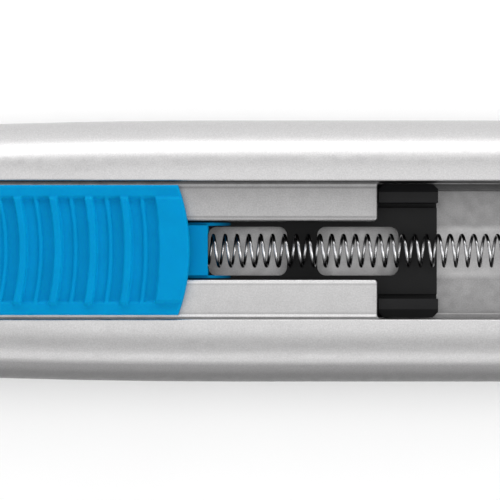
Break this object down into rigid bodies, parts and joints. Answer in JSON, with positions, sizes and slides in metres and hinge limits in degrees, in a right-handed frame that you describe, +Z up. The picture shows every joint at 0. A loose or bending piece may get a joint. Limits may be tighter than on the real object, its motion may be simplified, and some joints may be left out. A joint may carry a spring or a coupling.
{
  "type": "utility knife",
  "caption": "Flat aluminium utility knife whose blue thumb slider pushes a spring-loaded blade carriage forward along an open channel; the spring pulls it back.",
  "frame": {"origin": "centre of the knife's footprint, on the flat face it lies on, with the carriage drawn back", "axes": "+X from the blade end to the tail, +Y across the handle, +Z up through the thumb slider"},
  "size_m": [0.144, 0.03, 0.0149],
  "materials": {
    "handle_aluminium": "bead-blasted, clear anodised",
    "black_plastic": "fine moulded texture",
    "carrier_black": "satin moulded plastic",
    "slider_blue": "satin moulded plastic",
    "screw_steel": "zinc-plated steel",
    "pin_steel": "ground steel",
    "eyelet_steel": "nickel-plated steel",
    "spring_steel": "bright drawn spring wire",
    "blade_steel": "ground and lightly oiled carbon steel",
    "magnet_nickel": "nickel plate",
    "buffer_rubber": "matt rubber"
  },
  "bodies": {
    "handle": {"handle_body": "handle_aluminium", "nose_block": "black_plastic", "nose_block_screws": "screw_steel", "nose_cover": "black_plastic", "nose_clamp": "black_plastic", "nose_cover_screw": "screw_steel", "tail_plug": "black_plastic", "tail_cover": "black_plastic", "tail_screw": "screw_steel", "lanyard_eyelet": "eyelet_steel", "anchor_pin": "pin_steel", "stop_pin": "pin_steel", "buffer_sleeve": "buffer_rubber", "return_spring": "spring_steel"},
    "carriage": {"thumb_slider": "slider_blue", "slider_foot": "slider_blue", "slider_screws": "screw_steel", "carriage_screw": "screw_steel", "spring_pin": "pin_steel", "blade_carrier": "carrier_black", "blade_studs": "pin_steel", "blade_magnet": "magnet_nickel", "blade": "blade_steel"}
  },
  "joints": [
    {"name": "carriage_slide", "type": "slide", "parent": "handle", "child": "carriage", "axis": [-1, 0, 0], "range_m": [0, 0.022], "stiffness_N_per_m": 100, "springref_m": -0.038, "deforming": ["return_spring"]}
  ]
}
